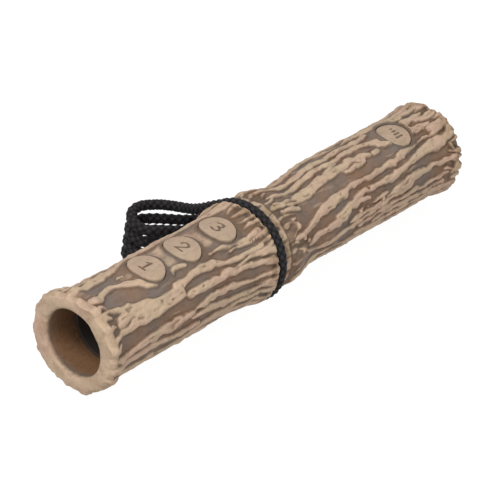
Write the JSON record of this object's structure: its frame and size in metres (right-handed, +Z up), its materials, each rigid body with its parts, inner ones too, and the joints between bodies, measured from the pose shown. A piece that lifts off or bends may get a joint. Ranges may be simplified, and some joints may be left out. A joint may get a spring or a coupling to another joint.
{
  "type": "deer call",
  "caption": "Antler-textured rubber grunt call: reed chamber with press pads that shorten the reed, squeezable sound tube with a volume pad, and a braided neck cord in a groove",
  "frame": {"origin": "on the ground under the middle of the call, lanyard left out of the box", "axes": "+X along the call from mouth to outlet, +Z up through the pads, -Y the side that faces the viewer"},
  "size_m": [0.205, 0.0674, 0.0412],
  "materials": {
    "antler_rubber": "soft moulded rubber, two-tone antler paint, matt",
    "pad_rubber": "soft moulded rubber, plain tan, matt",
    "web_rubber": "thin moulded rubber, matt",
    "black_plastic": "black moulded plastic, fine grain",
    "reed_film": "clear amber polyester film",
    "seal_rubber": "black elastomer",
    "braided_cord": "black braided nylon cord"
  },
  "bodies": {
    "call_body": {"front_sleeve": "antler_rubber", "rear_sleeve": "antler_rubber", "fawn_web": "web_rubber", "doe_web": "web_rubber", "young_buck_web": "web_rubber", "volume_web": "web_rubber", "reed_barrel": "black_plastic", "tone_board": "black_plastic", "reed": "reed_film", "reed_wedge": "seal_rubber", "reed_band": "seal_rubber", "stopper_seals": "seal_rubber", "coupling": "black_plastic", "lanyard_noose": "braided_cord", "lanyard_knot": "braided_cord", "lanyard_lead_back": "braided_cord", "lanyard_lead_out": "braided_cord", "lanyard_hank": "braided_cord", "hank_tie": "seal_rubber"},
    "fawn_button": {"fawn_pad": "pad_rubber"},
    "doe_button": {"doe_pad": "pad_rubber"},
    "young_buck_button": {"young_buck_pad": "pad_rubber"},
    "volume_button": {"volume_pad": "pad_rubber"}
  },
  "joints": [
    {"name": "fawn_press", "type": "slide", "parent": "call_body", "child": "fawn_button", "axis": [0, 0, -1], "range_m": [0, 0.0024], "stiffness_N_per_m": 900, "deforming": ["fawn_web", "reed"]},
    {"name": "doe_press", "type": "slide", "parent": "call_body", "child": "doe_button", "axis": [0, 0, -1], "range_m": [0, 0.0024], "stiffness_N_per_m": 900, "deforming": ["doe_web", "reed"]},
    {"name": "young_buck_press", "type": "slide", "parent": "call_body", "child": "young_buck_button", "axis": [0, 0, -1], "range_m": [0, 0.0024], "stiffness_N_per_m": 900, "deforming": ["young_buck_web", "reed"]},
    {"name": "volume_press", "type": "slide", "parent": "call_body", "child": "volume_button", "axis": [0, 0, -1], "range_m": [0, 0.004], "stiffness_N_per_m": 900, "deforming": ["volume_web"]}
  ]
}
